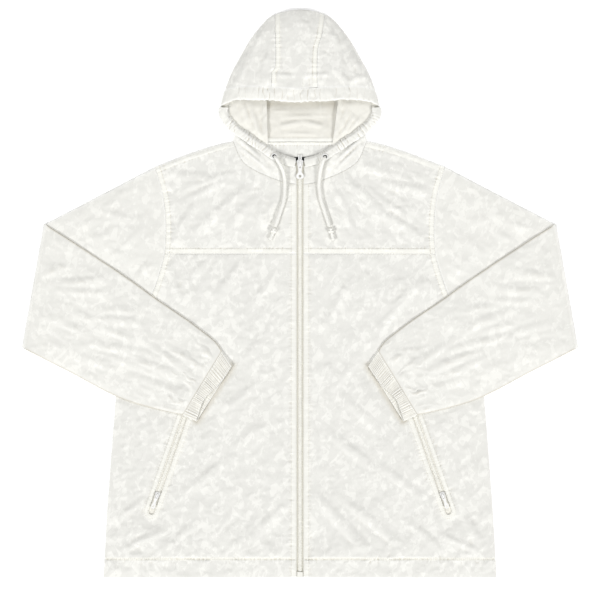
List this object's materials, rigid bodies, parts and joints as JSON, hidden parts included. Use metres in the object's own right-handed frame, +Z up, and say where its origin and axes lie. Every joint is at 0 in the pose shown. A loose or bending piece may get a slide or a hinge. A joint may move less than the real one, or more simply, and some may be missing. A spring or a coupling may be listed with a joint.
{
  "type": "windbreaker jacket",
  "caption": "Hooded lightweight windbreaker with a full front zip, slanted zip pockets and gathered cuffs, laid flat with folded sleeves.",
  "frame": {"origin": "middle of the bounding box's underside, on the surface that the jacket lies on", "axes": "+Z up from the surface, +Y from the hem to the hood's crown, +X to the wearer's left"},
  "size_m": [0.9172, 0.9368, 0.0255],
  "materials": {
    "cloth": "satin nylon, tone on tone",
    "elastic": "gathered satin nylon",
    "zip_tape": "matt woven tape",
    "zip_teeth": "semi-gloss coil",
    "enamelled_metal": "gloss enamel",
    "cord": "braided polyester",
    "label": "matt woven"
  },
  "bodies": {
    "root": {"back": "cloth", "collar_left": "cloth", "collar_right": "cloth", "cord_knot_left": "cord", "cord_knot_right": "cord", "cord_tip_left": "cord", "cord_tip_right": "cord", "cuff_left": "elastic", "cuff_right": "elastic", "drawcord_left": "cord", "drawcord_right": "cord", "eyelet_left": "enamelled_metal", "eyelet_right": "enamelled_metal", "front_left": "cloth", "front_right": "cloth", "hood_brim_casing": "cloth", "hood_center": "cloth", "hood_side_casing_left": "cloth", "hood_side_casing_right": "cloth", "hood_side_left": "cloth", "hood_side_right": "cloth", "hood_tuck_left": "cloth", "hood_tuck_right": "cloth", "main_slider": "enamelled_metal", "main_zip_box": "zip_teeth", "main_zip_chain": "zip_teeth", "main_zip_tape_left": "zip_tape", "main_zip_tape_right": "zip_tape", "neck_label": "label", "pocket_slider_left": "enamelled_metal", "pocket_slider_right": "enamelled_metal", "pocket_zip_chain_left": "zip_teeth", "pocket_zip_chain_right": "zip_teeth", "pocket_zip_tape_left": "zip_tape", "pocket_zip_tape_right": "zip_tape", "sleeve_left": "cloth", "sleeve_right": "cloth", "yoke_left": "cloth", "yoke_right": "cloth"},
    "main_pull": {"main_pull": "enamelled_metal"},
    "pocket_pull_left": {"pocket_pull_left": "enamelled_metal"},
    "pocket_pull_right": {"pocket_pull_right": "enamelled_metal"}
  },
  "joints": [
    {"name": "main_pull_swing", "type": "hinge", "parent": "root", "child": "main_pull", "pos_m": [0, 0.214, 0.0067], "axis": [-1, 0, 0], "range_deg": [0, 150]},
    {"name": "pocket_pull_left_swing", "type": "hinge", "parent": "root", "child": "pocket_pull_left", "pos_m": [0.23526, -0.33237, 0.0067], "axis": [-0.944, -0.33, 0], "range_deg": [0, 150]},
    {"name": "pocket_pull_right_swing", "type": "hinge", "parent": "root", "child": "pocket_pull_right", "pos_m": [-0.23526, -0.33237, 0.0067], "axis": [-0.944, 0.33, 0], "range_deg": [0, 150]}
  ]
}
